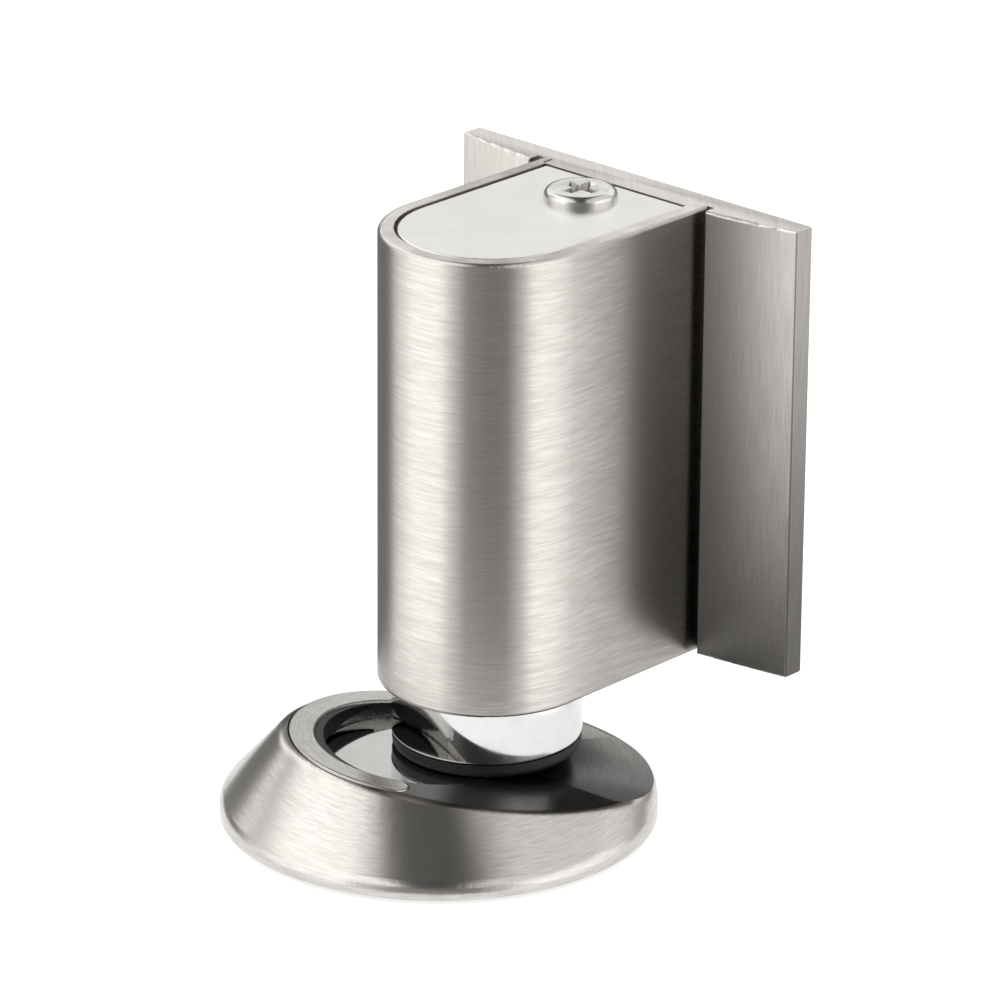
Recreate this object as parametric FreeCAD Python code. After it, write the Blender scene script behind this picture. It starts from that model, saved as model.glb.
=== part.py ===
import FreeCAD, Part
import math
import os

from FreeCAD import Vector

# Magnetic floor door holder, in millimetres.
# A housing screwed to the door face carries a spring-lifted plunger with a magnet in its foot.
# A low round base is screwed to the floor.  As the door arrives, the plunger comes in over the
# base's low side, and its magnet takes hold of the steel strike disc in the base's pocket.
#
# Row frame: the origin is the centre of the base on the floor, +Z is up, and +Y points from the
# housing's nose to the door face.  Positions named "local" are measured from the plunger's axis.

# ---------------------------------------------------------------- driving dimensions: the base
base_radius = 25.0
base_turn = 43.0            # degrees from +X to the base's low, open side
gasket_height = 0.2
gasket_width = 4.2
gasket_inset = 0.4
rim_height = 1.6            # where the upright rim ends and the sloping side begins
rim_round = 1.9
top_height = 7.82           # height of the sloping top over the base's centre
top_tilt = 7.6              # degrees, falling towards the open side
top_length_share = 0.856    # half the top's length, as a share of the base's radius
top_width_share = 0.632
top_shift_share = 0.136     # the top's outline sits this far towards the open side
crest_round = 2.0
dish_half_width = 16.0      # shallow trough that leads the plunger in
dish_depth = 0.9
dish_tilt = 10.2
dish_steps = 8
approach_gap = 0.6          # room round the plunger on its way in
approach_drop = 0.2         # the way in lies this far below the strike disc

pocket_shift = -3.0         # the pocket's centre, towards the high side
pocket_radius = 11.1
pocket_floor = 5.2
strike_thickness = 1.7
strike_gap = 0.15
strike_edge = 0.2
ring_width = 3.0
ring_floor = 5.6
ring_half_angle = 82.0      # the catch ring reaches this far either side of the high side
ring_proud = 0.15
ring_gap = 0.12
ring_edge = 0.3
buffer_width = 0.9          # at the middle; it thins to nothing at both ends
buffer_half_angle = 72.0
buffer_end = 66.0           # cut off blunt this far round, before it gets too thin
buffer_gap = 0.1
buffer_sink = 0.1

floor_plate_radius = 19.8
floor_plate_height = 2.4
floor_plate_gap = 0.4
floor_hole_circle = 26.0
floor_hole_radius = 2.2
floor_hole_count = 3
floor_sink_radius = 4.0
floor_hole_turn = 60.0      # degrees from the open side to the first floor screw
head_room = 1.2             # hollow in the shell over each floor screw's head
head_gap = 0.3

# ---------------------------------------------------------- driving dimensions: the door unit
axis_x = 1.5                # the plunger's axis, from the base's centre
axis_y = 6.4
housing_radius = 12.5
housing_wall = 1.25
housing_bottom = 15.1
housing_height = 53.9
housing_edge = 0.5
rim_wall = 1.8              # the housing's wall beside the cap
ledge_reach = 0.8           # the ledge under the cap comes this much further in
ledge_height = 1.6
cap_height = 2.3
cap_gap = 0.35
cap_edge = 0.25
cap_sink = 0.1              # the cap lies this far below the housing's rim

plate_front = 20.85         # local, from the plunger's axis to the plate's front face
plate_depth = 4.47
plate_edge_depth = 2.67
plate_width = 50.7
plate_bow = 0.13
plate_round = 0.3
plate_inset = 0.1           # the plate is this much shorter than the housing at each end
slot_depth = 1.6            # slots in the plate that take the housing's legs
slot_inner_gap = 0.15
slot_outer_gap = 0.85
leg_gap = 0.1
slot_chamfer = 0.15

door_hole_radius = 2.0
door_sink_radius = 3.3
door_hole_spacing_x = 14.0
door_hole_spacing_z = 28.0
door_hole_share = 0.61      # how far up the housing the four door holes have their middle

# ------------------------------------------------------------ driving dimensions: the plunger
plunger_travel = 9.0
cup_slide_gap = 0.3         # between the cup and the housing round it
cup_height = 13.4
cup_wall = 1.35
cup_edge = 0.35
cup_floor_height = 2.45
boss_radius = 6.0
boss_height = 7.3
boss_gap = 0.1
stem_radius = 3.0
stem_seat = 1.5             # the stem starts this far above the cup's inner floor
thread_radius = 2.5
pot_radius = 7.2
pot_height = 4.95
pot_wall = 1.0
pot_gap = 0.2
foot_gap = 0.15             # the magnet pot stops this far above the strike disc
magnet_height = 3.6
magnet_gap = 0.15
magnet_bore = 1.75
rubber_gap = 0.05
rubber_height = 1.7         # from the strike disc to the cup's chromed edge
rubber_inset = 0.1          # the rubber ring is this much smaller than the cup
rubber_width = 2.5
rubber_neck_inset = 0.75
rubber_groove_depth = 0.8
rubber_edge = 0.7
bumper_radius = 5.8
bumper_height = 2.0
bumper_gap = 0.2
stop_gap = 0.2

bush_flange = 0.8
bush_flange_radius = 5.8
bush_share = 0.4            # each bush's length, as a share of the guide tube's
bush_radius = 4.45
tube_radius = 6.8
lid_gap = 1.0               # between the raised stem and the cap
running_gap = 0.06
fit_gap = 0.05
spring_wire = 0.45
spring_radius = 4.5
spring_turns = 6
spring_steps = 14           # short facets in each turn
spring_sides = 6            # sides of the wire's outline
spring_seat_gap = 0.03
spring_length = 8.0         # between its seats, with the plunger down
washer_radius = 5.6
washer_height = 0.8
nut_across_flats = 8.0
nut_height = 2.4
stem_tip = 0.4

frame_width = 6.8
frame_bar_depth = 7.0
post_radius = 3.6
post_height = 9.4
cover_height = 1.6
cover_inset = 0.8           # the bottom cover lies this far up inside the housing
cover_gap = 0.25
cover_cup_gap = 0.35
cover_start = 6.0           # local y where the bottom cover begins

# --------------------------------------------------------------- driving dimensions: fasteners
cap_screw_y = 14.9          # local
cap_screw_radius = 1.95
cap_screw_head_radius = 4.2
cap_screw_head_height = 1.15
cap_screw_head_round = 0.85
cap_screw_gap = 0.3
cap_screw_length = 8.5
recess_span = 4.6
recess_width = 1.4
recess_depth = 1.3
recess_narrowing = 0.55     # the recess's floor, as a share of its mouth
small_screw_radius = 1.45   # M3, with its thread left plain
small_screw_head = 2.9
ring_screw_radius = 0.95
ring_screw_head = 1.9
ring_screw_angle = 40.0
ring_screw_length = 5.5
ring_screw_room = 0.25
clamp_screw_radius = 1.95
clamp_screw_head = 3.9
clamp_screw_gap = 0.2
clamp_screw_sink = 0.1
clamp_screw_lift = 0.5      # its tip stays this far off the floor
core_screw_shares = (0.22, 0.685)
core_screw_length = 7.6
bottom_screw_length = 6.4
foot_screw_length = 12.5
foot_screw_gap = 0.15
foot_screw_sink = 0.15
foot_screw_room = 1.0
screw_end_gap = 0.5

# -------------------------------------------------------------------------- derived dimensions
top_slope = math.tan(math.radians(top_tilt))
top_half_length = base_radius * top_length_share
top_half_width = base_radius * top_width_share
top_shift = base_radius * top_shift_share
strike_height = pocket_floor + strike_thickness
housing_top = housing_bottom + housing_height
inner_radius = housing_radius - housing_wall
rim_inner_radius = housing_radius - rim_wall
ledge_radius = rim_inner_radius - ledge_reach
cap_top = housing_top - cap_sink
cap_bottom = cap_top - cap_height
plate_back = plate_front + plate_depth
slot_bottom = plate_front + slot_depth
door_hole_middle = housing_bottom + housing_height * door_hole_share
core_screw_heights = [housing_bottom + housing_height * share for share in core_screw_shares]
ring_radius = pocket_radius + ring_width
cup_radius = inner_radius - cup_slide_gap
cup_bottom = strike_height + rubber_height
cup_top = cup_bottom + cup_height
rubber_outer = cup_radius - rubber_inset
rubber_inner = rubber_outer - rubber_width
rubber_neck = rubber_outer - rubber_neck_inset
pot_bottom = strike_height + foot_gap
magnet_top = pot_bottom + pot_height - pot_wall - fit_gap
magnet_bottom = magnet_top - magnet_height
cup_floor = pot_bottom + pot_height + fit_gap
cup_floor_top = cup_floor + cup_floor_height
boss_top = cup_floor_top + boss_height
bumper_top = boss_top + bumper_height
stem_bottom = cup_floor_top + stem_seat
tube_bottom = bumper_top + plunger_travel + stop_gap + bush_flange
stem_top = cap_bottom - lid_gap - plunger_travel
nut_bottom = stem_top - stem_tip - nut_height
shoulder = nut_bottom - washer_height
spring_bottom = shoulder - spring_length
tube_top = spring_bottom - bush_flange
tube_length = tube_top - tube_bottom
bush_length = tube_length * bush_share
bore_radius = bush_radius + fit_gap
frame_half = frame_width / 2.0
bar_front = plate_front - frame_bar_depth
cover_bottom = housing_bottom + cover_inset
cover_top = cover_bottom + cover_height
frame_top = cap_bottom - fit_gap
bottom_screw_y = bar_front + small_screw_head + fit_gap
screw_hole_radius = small_screw_radius + fit_gap
axis = Vector(axis_x, axis_y, 0)
UP = Vector(0, 0, 1)
BACK = Vector(0, 1, 0)
ORIGIN = Vector(0, 0, 0)
far = 60.0                  # long enough to pass through anything


# ------------------------------------------------------------------------------ shape helpers
def cylinder(radius, bottom, top, x=0.0, y=0.0):
    """An upright round bar."""
    return Part.makeCylinder(radius, top - bottom, Vector(x, y, bottom))


def ring(outer, inner, bottom, top, x=0.0, y=0.0):
    """An upright round bar with a hole through it."""
    return cylinder(outer, bottom, top, x, y).cut(cylinder(inner, bottom - 1, top + 1, x, y))


def block(x0, x1, y0, y1, z0, z1):
    """A box between two corners."""
    return Part.makeBox(x1 - x0, y1 - y0, z1 - z0, Vector(x0, y0, z0))


def join(shapes):
    """One solid from several that touch."""
    return shapes[0].multiFuse(shapes[1:]).removeSplitter()


def turned(points):
    """A solid of revolution about +Z from (radius, height) points."""
    corners = [Vector(radius, 0, height) for radius, height in points]
    face = Part.Face(Part.makePolygon(corners + corners[:1]))
    return face.revolve(ORIGIN, UP, 360)


def u_prism(radius, back, bottom, top):
    """A D shape round the plunger's axis, standing up: a half circle at the nose, straight to back."""
    left = Vector(-radius, 0, bottom)
    right = Vector(radius, 0, bottom)
    nose = Part.Arc(left, Vector(0, -radius, bottom), right).toShape()
    corner_right = Vector(radius, back, bottom)
    corner_left = Vector(-radius, back, bottom)
    sides = [
        Part.makeLine(right, corner_right),
        Part.makeLine(corner_right, corner_left),
        Part.makeLine(corner_left, left),
    ]
    return Part.Face(Part.Wire([nose] + sides)).extrude(UP * (top - bottom))


def sunk_screw(radius, head, length, place, direction):
    """A countersunk screw: its flat head is at place, and it points along direction."""
    cone_height = head - radius
    cone = Part.makeCone(head, radius, cone_height, place, direction)
    shank = Part.makeCylinder(radius, length, place, direction)
    return join([cone, shank])


def sunk_hole(radius, head, length, place, direction):
    """A countersunk hole, open at the head's side."""
    room = sunk_screw(radius, head, length, place, direction)
    return room.fuse(Part.makeCylinder(head, far, place, direction * -1))


def screw_room(radius, head, gap, length, place, direction):
    """The hole for a countersunk screw that lies at place, wider than the screw by gap."""
    return sunk_hole(radius + gap, head + gap, length, place, direction)


def cross_outline(span, width, height):
    """A plus sign as a closed wire."""
    far_out = span / 2.0
    near = width / 2.0
    quarter = [(far_out, -near), (far_out, near), (near, near)]
    corners = []
    for turn in range(4):
        angle = math.radians(90 * turn)
        for x, y in quarter:
            u = x * math.cos(angle) - y * math.sin(angle)
            v = x * math.sin(angle) + y * math.cos(angle)
            corners.append(Vector(u, v, height))
    return Part.makePolygon(corners + corners[:1])


def cross_recess(top):
    """A tapered cross recess under the height top, on the local origin."""
    floor_span = recess_span * recess_narrowing
    floor_width = recess_width * recess_narrowing
    wires = [
        cross_outline(recess_span, recess_width, top),
        cross_outline(floor_span, floor_width, top - recess_depth),
    ]
    above = cross_outline(recess_span, recess_width, top)
    lid = Part.Face(above).extrude(UP)
    return Part.makeLoft(wires, True, True).fuse(lid)


def to_row(shape):
    """Moves a shape from the plunger's axis to its place in the row."""
    moved = shape.copy()
    moved.translate(axis)
    return moved


def turn_base(shape):
    """Turns a shape of the base from its own heading to the row's."""
    turned_shape = shape.copy()
    turned_shape.rotate(ORIGIN, UP, base_turn)
    return turned_shape


# -------------------------------------------------------------------------------- base pieces
def above_top(offset):
    """Everything over the base's sloping top, raised by offset."""
    slab = block(-far, far, -far, far, 0, far)
    slab.rotate(ORIGIN, BACK, top_tilt)
    slab.translate(UP * (top_height + offset))
    return slab


def closed_outline(curve, move):
    """A closed curve in two halves, so that lofted sides join at the high and low points."""
    halves = [curve.toShape(0, math.pi), curve.toShape(math.pi, 2 * math.pi)]
    wire = Part.Wire(halves)
    return move(wire)


def shell_block():
    """The base's outer form: a round foot drawn up to the egg-shaped sloping top."""
    foot = closed_outline(
        Part.Circle(Vector(0, 0, rim_height), UP, base_radius),
        lambda wire: wire,
    )

    def lay_on_top(wire):
        wire.rotate(ORIGIN, BACK, top_tilt)
        wire.translate(Vector(top_shift, 0, top_height - top_slope * top_shift))
        return wire

    crest = closed_outline(Part.Ellipse(ORIGIN, top_half_length, top_half_width), lay_on_top)
    upper = Part.makeLoft([foot, crest], True, True)
    lower = cylinder(base_radius, gasket_height, rim_height)
    body = join([upper, lower])
    return round_shell(body)


def round_shell(body):
    """Rounds the rim, and the crest where the side meets the sloping top."""
    rim_edges = []
    crest_edges = []
    for edge in body.Edges:
        box = edge.BoundBox
        if edge.Length < base_radius:
            continue
        if abs(box.ZMin - rim_height) < 1e-3 and box.ZLength < 1e-3:
            rim_edges.append(edge)
        if box.ZMin > rim_height + rim_round:
            crest_edges.append(edge)
    return body.makeFillet(rim_round, rim_edges).makeFillet(crest_round, crest_edges)


def dish():
    """The shallow trough along the open side; its sides level out, so they leave hardly a crease."""
    start = pocket_shift + pocket_radius
    deepest = strike_height - strike_gap
    points = []
    for step in range(-dish_steps, dish_steps + 1):
        share = step / dish_steps
        rise = dish_depth * (1 - math.cos(math.pi * share)) / 2.0
        points.append(Vector(start, dish_half_width * share, deepest + rise))
    floor_curve = Part.BSplineCurve()
    floor_curve.interpolate(points)
    corners = [points[-1], points[-1] + UP * far, points[0] + UP * far, points[0]]
    sides = [Part.makeLine(a, b) for a, b in zip(corners, corners[1:])]
    section = Part.Face(Part.Wire([floor_curve.toShape()] + sides))
    tilt = math.radians(dish_tilt)
    direction = Vector(math.cos(tilt), 0, -math.sin(tilt))
    section.translate(direction * -far)
    return section.extrude(direction * far * 2)


def approach_slot():
    """The flat-bottomed way in for the plunger, along +Y from where it rests (row frame)."""
    radius = cup_radius + approach_gap
    floor = strike_height - approach_drop
    run = cylinder(radius, floor, floor + far, axis_x, axis_y)
    lane = block(axis_x - radius, axis_x + radius, axis_y, axis_y + far, floor, floor + far)
    return join([run, lane])


def ring_sector(outer, inner, bottom, top, half_angle):
    """A C in plan about the pocket's centre; its middle is at the high side."""
    full = ring(outer, inner, bottom, top)
    reach = far * 2
    start = math.radians(180 - half_angle)
    corners = [ORIGIN]
    steps = 6
    for step in range(steps + 1):
        angle = start + 2 * math.radians(half_angle) * step / steps
        corners.append(Vector(reach * math.cos(angle), reach * math.sin(angle), 0))
    wedge = Part.Face(Part.makePolygon(corners + corners[:1])).extrude(UP * far)
    wedge.translate(UP * -1)
    sector = full.common(wedge)
    sector.translate(Vector(pocket_shift, 0, 0))
    return sector


def ring_end_posts(radius, bottom, top, half_angle):
    """Round ends for the C, one at each end."""
    middle = pocket_radius + ring_width / 2.0
    posts = []
    for side in (-1, 1):
        angle = math.radians(180 + side * half_angle)
        x = pocket_shift + middle * math.cos(angle)
        posts.append(cylinder(radius, bottom, top, x, middle * math.sin(angle)))
    return posts


def catch_ring_blank(grow, bottom, top):
    """The catch ring's plan, grown by a clearance."""
    outer = ring_radius + grow
    inner = pocket_radius - (grow if grow else 0)
    sector = ring_sector(outer, inner, bottom, top, ring_half_angle)
    posts = ring_end_posts(ring_width / 2.0 + grow, bottom, top, ring_half_angle)
    return join([sector] + posts)


def ring_screw_places():
    """The heads of the two screws under the catch ring, in the base's own heading."""
    middle = pocket_radius + ring_width / 2.0
    places = []
    for side in (-1, 1):
        angle = math.radians(180 + side * ring_screw_angle)
        x = pocket_shift + middle * math.cos(angle)
        places.append(Vector(x, middle * math.sin(angle), floor_plate_height + fit_gap))
    return places


def floor_hole_places():
    """Where the floor screws pass through the floor plate."""
    places = []
    for index in range(floor_hole_count):
        angle = math.radians(floor_hole_turn + 360.0 * index / floor_hole_count)
        reach = floor_hole_circle / 2.0
        places.append(Vector(reach * math.cos(angle), reach * math.sin(angle), 0))
    return places


def base_shell():
    """The cast shell: sloping top, pocket, groove for the catch ring, hollow for the floor plate."""
    body = shell_block()
    body = body.cut(dish())
    body = body.cut(cylinder(pocket_radius, pocket_floor, far, pocket_shift))
    body = body.cut(catch_ring_blank(ring_gap, ring_floor, far))
    body = body.cut(cylinder(floor_plate_radius + floor_plate_gap, -1, floor_plate_height))
    for place in floor_hole_places():
        top = floor_plate_height + head_room
        body = body.cut(cylinder(floor_sink_radius + head_gap, 0, top, place.x, place.y))
    for place in ring_screw_places():
        hole = screw_room(ring_screw_radius, ring_screw_head, fit_gap, far, place, UP)
        body = body.cut(hole)
    body = body.cut(clamp_room())
    body = turn_base(body)
    return body.cut(approach_slot())


def clamp_place():
    """The head of the clamp screw, just under the strike disc."""
    return Vector(pocket_shift, 0, pocket_floor - clamp_screw_sink)


def clamp_room():
    """The countersunk hole for the clamp screw."""
    place = clamp_place()
    return screw_room(
        clamp_screw_radius, clamp_screw_head, clamp_screw_gap, far, place, UP * -1
    )


def catch_ring():
    """The C-shaped ring that the plunger comes up against."""
    blank = catch_ring_blank(0, ring_floor, far)
    body = blank.cut(above_top(ring_proud))
    top_edges = []
    for edge in body.Edges:
        middle = edge.valueAt((edge.FirstParameter + edge.LastParameter) / 2.0)
        height = top_height + ring_proud - top_slope * middle.x
        if abs(middle.z - height) < 0.02:
            top_edges.append(edge)
    body = body.makeFillet(ring_edge, top_edges)
    for place in ring_screw_places():
        hole_top = place.z + ring_screw_length + ring_screw_room
        hole = cylinder(ring_screw_radius + fit_gap, 0, hole_top, place.x, place.y)
        body = body.cut(hole)
    return turn_base(body).cut(approach_slot())


def ring_screws():
    """Two small screws that hold the catch ring from below."""
    screws = []
    for place in ring_screw_places():
        screw = sunk_screw(ring_screw_radius, ring_screw_head, ring_screw_length, place, UP)
        screws.append(turn_base(screw))
    return Part.makeCompound(screws)


def buffer_plan(bottom, top):
    """The buffer's crescent: thick at the back of the pocket, nothing at its half angle."""
    outer = pocket_radius - fit_gap
    back = outer - buffer_width
    tip = outer * math.cos(math.radians(buffer_half_angle))
    shift = (outer ** 2 - back ** 2) / (2 * (back - tip))
    full = cylinder(outer, bottom, top, pocket_shift)
    hollow = cylinder(back + shift, bottom - 1, top + 1, pocket_shift + shift)
    return full.cut(hollow)


def under_buffer():
    """Everything under the buffer's lower face, which climbs to meet the top at the tips."""
    back = pocket_shift - pocket_radius
    tip = pocket_shift - pocket_radius * math.cos(math.radians(buffer_half_angle))
    low = strike_height + buffer_gap
    high = top_height - top_slope * tip
    climb = math.degrees(math.atan2(high - low, tip - back))
    slab = block(-far, far, -far, far, -far, 0)
    slab.rotate(ORIGIN, BACK, -climb)
    slab.translate(Vector(back, 0, low))
    return slab


def buffer_strip():
    """The black rubber buffer on the pocket's back wall, a crescent that thins to both ends."""
    body = buffer_plan(strike_height, far)
    body = body.cut(above_top(-buffer_sink)).cut(under_buffer())
    reach = pocket_radius * math.cos(math.radians(buffer_end))
    body = body.cut(block(pocket_shift - reach, far, -far, far, 0, far))
    return turn_base(body)


def strike_disc():
    """The polished steel disc that the magnet takes hold of."""
    radius = pocket_radius - strike_gap
    body = cylinder(radius, pocket_floor, strike_height, pocket_shift)
    top_edges = [edge for edge in body.Edges if edge.BoundBox.ZMin > strike_height - 0.01]
    return turn_base(body.makeChamfer(strike_edge, top_edges))


def floor_plate():
    """The steel plate that is screwed to the floor and carries the shell."""
    body = cylinder(floor_plate_radius, 0, floor_plate_height)
    for place in floor_hole_places():
        top = Vector(place.x, place.y, floor_plate_height)
        body = body.cut(sunk_hole(floor_hole_radius, floor_sink_radius, far, top, UP * -1))
    body = body.cut(cylinder(clamp_screw_radius + fit_gap, -1, far, pocket_shift))
    return turn_base(body)


def clamp_screw():
    """The screw under the strike disc that clamps the shell to the floor plate."""
    place = clamp_place()
    length = place.z - clamp_screw_lift
    return turn_base(sunk_screw(clamp_screw_radius, clamp_screw_head, length, place, UP * -1))


def base_gasket():
    """The thin rubber ring between the shell and the floor."""
    outer = base_radius - gasket_inset
    return ring(outer, outer - gasket_width, 0, gasket_height)


# --------------------------------------------------------------------------- door unit pieces
def plate_half(side):
    """One half of the plate's plan outline, from the middle outwards along the front, then back."""
    slot_inside = side * (inner_radius - slot_inner_gap)
    slot_outside = side * (housing_radius + slot_outer_gap)
    end = side * plate_width / 2.0
    root = Vector(slot_outside + side * slot_chamfer, plate_front, 0)
    tip = Vector(end, plate_back - plate_edge_depth, 0)
    middle = (root + tip) * 0.5 - BACK * plate_bow
    corners = [
        Vector(0, plate_front, 0),
        Vector(slot_inside, plate_front, 0),
        Vector(slot_inside, slot_bottom, 0),
        Vector(slot_outside, slot_bottom, 0),
        Vector(slot_outside, plate_front + slot_chamfer, 0),
        root,
    ]
    edges = [Part.makeLine(a, b) for a, b in zip(corners, corners[1:])]
    edges.append(Part.Arc(root, middle, tip).toShape())
    rear = [tip, Vector(end, plate_back, 0), Vector(0, plate_back, 0), Vector(0, plate_front, 0)]
    edges += [Part.makeLine(a, b) for a, b in zip(rear, rear[1:])]
    return Part.Face(Part.Wire(edges))


def round_plate(body):
    """Breaks the plate's outer edges: its ends, and the top and bottom of the wings."""
    edges = []
    for edge in body.Edges:
        box = edge.BoundBox
        at_end = max(abs(box.XMin), abs(box.XMax)) > plate_width / 2.0 - 0.01
        upright = box.ZLength > 10 and at_end
        flat = box.ZLength < 1e-3 and at_end
        if upright or flat:
            edges.append(edge)
    return body.makeFillet(plate_round, edges)


def door_plate():
    """The plate on the door: thick where the housing's legs enter, thin at the wings' ends."""
    bottom = housing_bottom + plate_inset
    height = housing_height - 2 * plate_inset
    body = join([plate_half(side).extrude(UP * height) for side in (1, -1)])
    body.translate(UP * bottom)
    body = round_plate(body)
    for x, z in door_hole_places():
        front = Vector(x, plate_front, z)
        body = body.cut(sunk_hole(door_hole_radius, door_sink_radius, far, front, BACK))
    for place in core_screw_places():
        hole = screw_room(small_screw_radius, small_screw_head, fit_gap, far, place, BACK * -1)
        body = body.cut(hole)
    return to_row(body)


def core_screw_places():
    """The heads of the two screws that go through the plate into the guide block."""
    return [Vector(0, plate_back - fit_gap, z) for z in core_screw_heights]


def door_hole_places():
    """The door screws' places in the plate, as (x, z)."""
    places = []
    for x in (-door_hole_spacing_x / 2.0, door_hole_spacing_x / 2.0):
        for z in (-door_hole_spacing_z / 2.0, door_hole_spacing_z / 2.0):
            places.append((x, door_hole_middle + z))
    return places


def housing_sleeve():
    """The bent metal sleeve, with a ledge near its top that the cap clamps down."""
    leg_end = slot_bottom - leg_gap
    body = u_prism(housing_radius, leg_end, housing_bottom, housing_top)
    edges = []
    for edge in body.Edges:
        box = edge.BoundBox
        flat = box.ZLength < 1e-3
        at_back = box.YMin > leg_end - 0.01
        if flat and not at_back:
            edges.append(edge)
    body = body.makeFillet(housing_edge, edges)
    ledge_bottom = cap_bottom - ledge_height
    body = body.cut(u_prism(inner_radius, far, housing_bottom - 1, ledge_bottom))
    body = body.cut(u_prism(ledge_radius, far, ledge_bottom - 1, far * 2))
    body = body.cut(u_prism(rim_inner_radius, far, cap_bottom, far * 2))
    clear = plate_front - leg_gap
    body = body.cut(block(-inner_radius, inner_radius, clear, far, 0, far * 2))
    return to_row(body)


def top_cap():
    """The D-shaped lid inside the sleeve's rim."""
    back = plate_front - cap_gap
    body = u_prism(rim_inner_radius - cap_gap, back, cap_bottom, cap_top)
    edges = [edge for edge in body.Edges if edge.BoundBox.ZMin > cap_top - 0.01]
    body = body.makeFillet(cap_edge, edges)
    hole = cylinder(cap_screw_radius + cap_screw_gap, cap_bottom - 1, far * 2, 0, cap_screw_y)
    return to_row(body.cut(hole))


def cap_screw():
    """The pan-head screw with a cross recess that holds the cap."""
    head_top = cap_top + cap_screw_head_height
    head = cylinder(cap_screw_head_radius, cap_top, head_top)
    rims = [edge for edge in head.Edges if edge.BoundBox.ZMin > head_top - 0.01]
    head = head.makeFillet(cap_screw_head_round, rims)
    shank = cylinder(cap_screw_radius, cap_top - cap_screw_length, cap_top)
    body = join([head, shank]).cut(cross_recess(head_top))
    body.translate(Vector(0, cap_screw_y, 0))
    return to_row(body)


def core_frame():
    """The cast guide block behind the sleeve: back bar, guide tube on a web, post for the cap."""
    bar = block(-frame_half, frame_half, bar_front, plate_front, cover_top, frame_top)
    tube = cylinder(tube_radius, tube_bottom, tube_top)
    web = block(-frame_half, frame_half, 0, plate_front, tube_bottom, tube_top)
    post_bottom = frame_top - post_height
    post = cylinder(post_radius, post_bottom, frame_top, 0, cap_screw_y)
    arm = block(-frame_half, frame_half, cap_screw_y, plate_front, post_bottom, frame_top)
    body = join([bar, tube, web, post, arm])
    body = body.cut(cylinder(bore_radius, tube_bottom - 1, tube_top + 1))
    screw_end = cap_top - cap_screw_length - screw_end_gap
    body = body.cut(cylinder(cap_screw_radius + fit_gap, screw_end, far * 2, 0, cap_screw_y))
    for z in core_screw_heights:
        hole_depth = core_screw_length - plate_depth + screw_end_gap
        start = Vector(0, plate_front + 1, z)
        body = body.cut(Part.makeCylinder(screw_hole_radius, hole_depth + 1, start, BACK * -1))
    top = cover_bottom + bottom_screw_length + screw_end_gap
    body = body.cut(cylinder(screw_hole_radius, cover_bottom, top, 0, bottom_screw_y))
    return to_row(body)


def core_screws():
    """Two screws from the plate's back into the guide block."""
    screws = []
    for place in core_screw_places():
        screw = sunk_screw(
            small_screw_radius, small_screw_head, core_screw_length, place, BACK * -1
        )
        screws.append(to_row(screw))
    return Part.makeCompound(screws)


def bottom_cover():
    """The cover that closes the housing's underside behind the plunger."""
    body = u_prism(inner_radius - cover_gap, plate_front - cover_gap, cover_bottom, cover_top)
    body = body.cut(cylinder(cup_radius + cover_cup_gap, 0, far))
    body = body.cut(block(-far, far, -far, cover_start, 0, far))
    place = bottom_screw_place()
    body = body.cut(screw_room(small_screw_radius, small_screw_head, fit_gap, far, place, UP))
    return to_row(body)


def bottom_screw_place():
    """The head of the bottom cover's screw."""
    return Vector(0, bottom_screw_y, cover_bottom + fit_gap)


def bottom_screw():
    """The screw that holds the bottom cover."""
    place = bottom_screw_place()
    return to_row(sunk_screw(small_screw_radius, small_screw_head, bottom_screw_length, place, UP))


def guide_bush(upper):
    """A flanged plastic bush; the upper one's flange is on top, the lower one's below."""
    if upper:
        flange = cylinder(bush_flange_radius, tube_top, spring_bottom)
        sleeve = cylinder(bush_radius, tube_top - bush_length, tube_top)
    else:
        flange = cylinder(bush_flange_radius, tube_bottom - bush_flange, tube_bottom)
        sleeve = cylinder(bush_radius, tube_bottom, tube_bottom + bush_length)
    body = join([flange, sleeve]).cut(cylinder(stem_radius + running_gap, 0, far * 2))
    return to_row(body)


# ----------------------------------------------------------------------------- plunger pieces
def plunger_cup():
    """The chrome cup: magnet seat and rubber groove below, boss for the stem inside."""
    body = cylinder(cup_radius, cup_bottom, cup_top)
    low_edges = [edge for edge in body.Edges if edge.BoundBox.ZMax < cup_bottom + 0.01]
    body = body.makeFillet(cup_edge, low_edges)
    hollow = ring(cup_radius - cup_wall, boss_radius, cup_floor_top, cup_top + 1)
    body = body.cut(hollow)
    body = body.cut(cylinder(boss_radius + boss_gap, boss_top, cup_top + 1))
    body = body.cut(cylinder(pot_radius + pot_gap, cup_bottom - 1, cup_floor))
    groove_top = cup_bottom + rubber_groove_depth
    body = body.cut(ring(rubber_neck, rubber_inner, cup_bottom - 1, groove_top))
    body = body.cut(cylinder(stem_radius + fit_gap, stem_bottom, far))
    body = body.cut(cylinder(small_screw_radius + foot_screw_gap, 0, far))
    return to_row(body)


def plunger_stem():
    """The steel stem: plain where it runs in the bushes, stepped down for washer and nut."""
    lower = cylinder(stem_radius, stem_bottom, shoulder)
    upper = cylinder(thread_radius, shoulder, stem_top)
    hole_top = pot_bottom + foot_screw_length + foot_screw_room
    body = join([lower, upper]).cut(cylinder(screw_hole_radius, stem_bottom - 1, hole_top))
    return to_row(body)


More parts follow.
